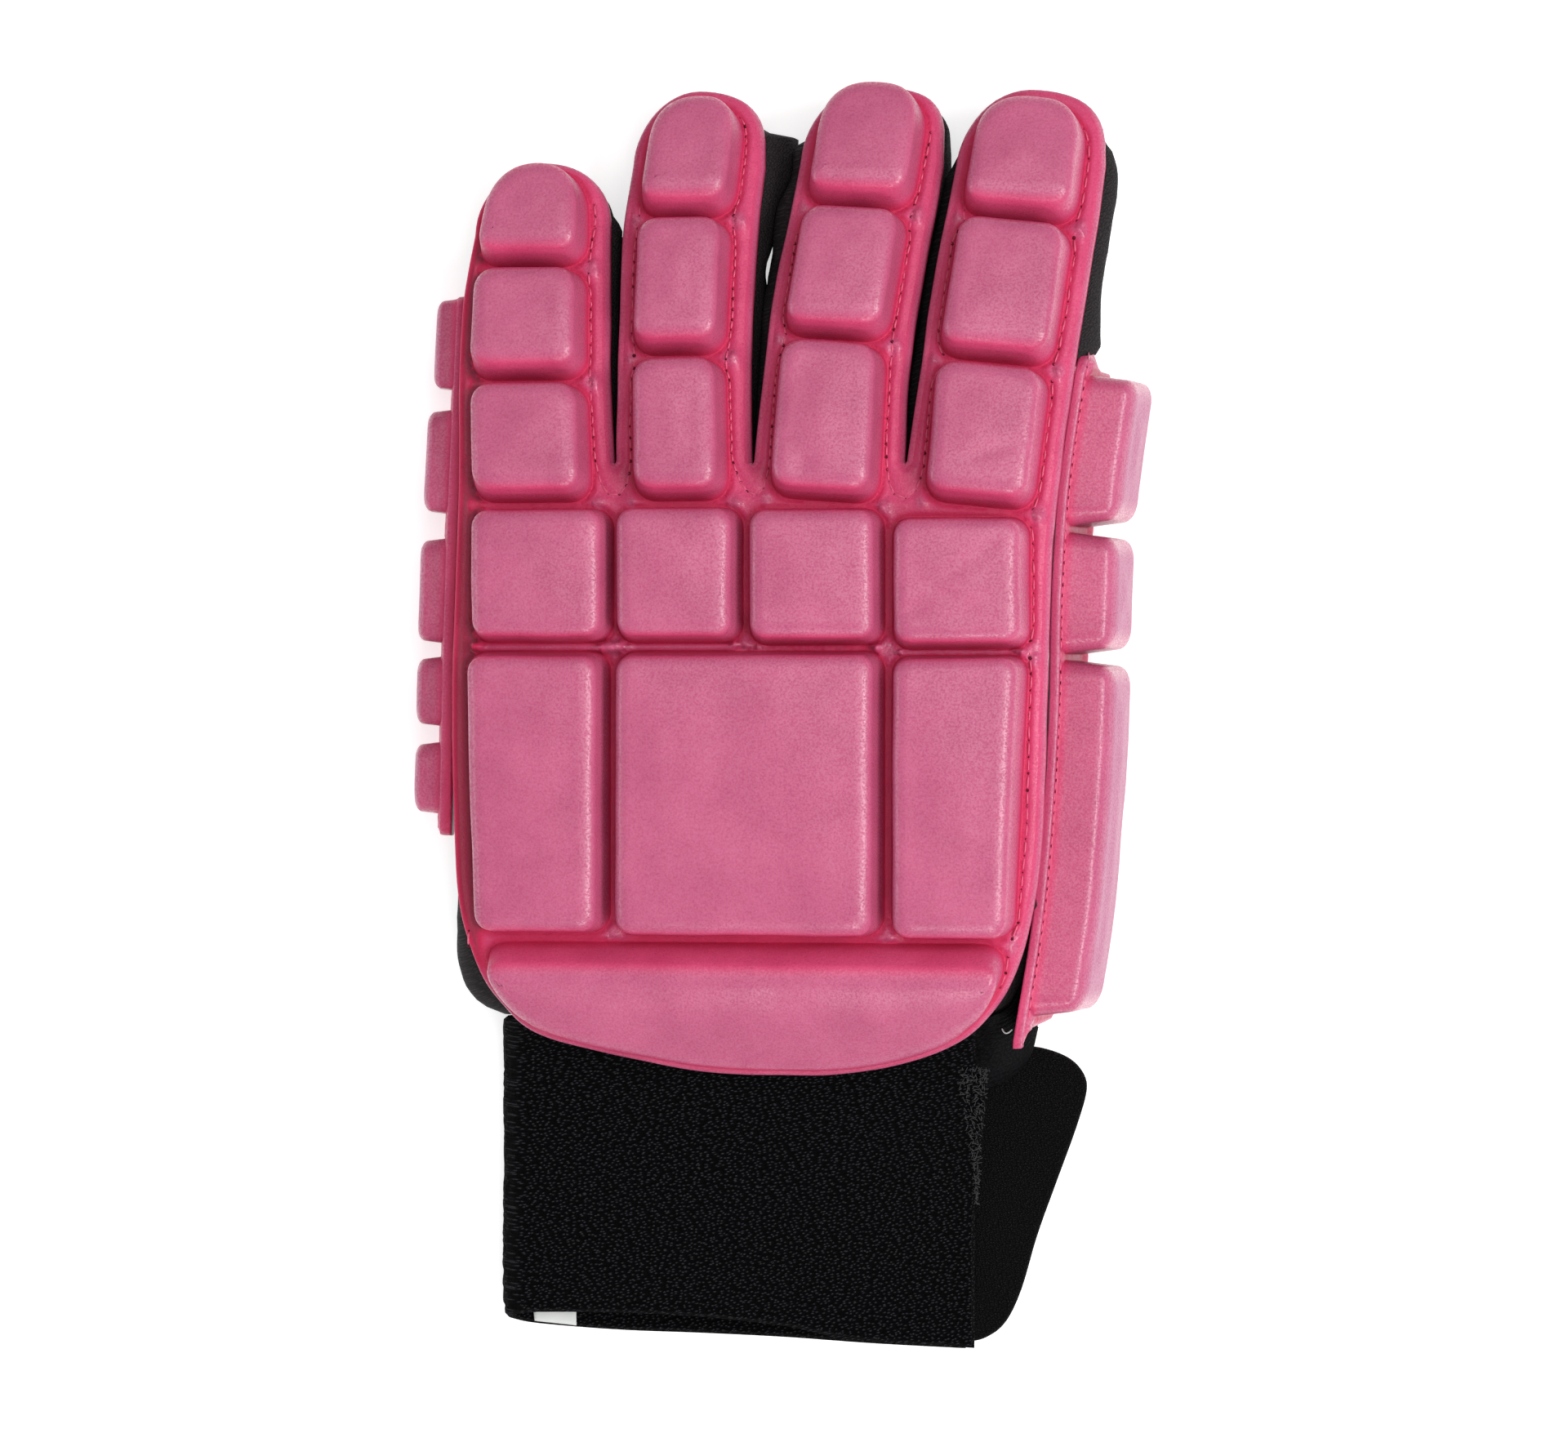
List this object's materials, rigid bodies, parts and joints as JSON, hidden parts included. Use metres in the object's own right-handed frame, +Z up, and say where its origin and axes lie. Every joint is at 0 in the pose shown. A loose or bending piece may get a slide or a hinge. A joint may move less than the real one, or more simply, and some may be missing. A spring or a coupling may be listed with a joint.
{
  "type": "indoor hockey glove",
  "caption": "Left-hand indoor hockey glove lying palm down: moulded foam blocks over the back of the hand and fingers, side panels, cloth liner, elastic cuff and closing strap",
  "frame": {"origin": "on the resting plane, under the middle of the glove's outline", "axes": "+Y points to the fingertips, +X to the thumb side, +Z up out of the back of the hand"},
  "size_m": [0.152, 0.2594, 0.0492],
  "materials": {
    "pink_foam": "satin",
    "black_cloth": "matte",
    "black_terry": "matte",
    "black_nap": "matte",
    "white_tag": "matte"
  },
  "bodies": {
    "root": {"back_shell": "pink_foam", "thumb_panel": "pink_foam", "side_strip": "pink_foam", "hand_sleeve": "black_cloth", "little_sleeve": "black_cloth", "ring_sleeve": "black_cloth", "middle_sleeve": "black_cloth", "index_sleeve": "black_cloth", "thumb_sleeve": "black_cloth", "wrist_band": "black_terry", "closing_strap": "black_nap", "size_label": "white_tag"}
  },
  "joints": []
}
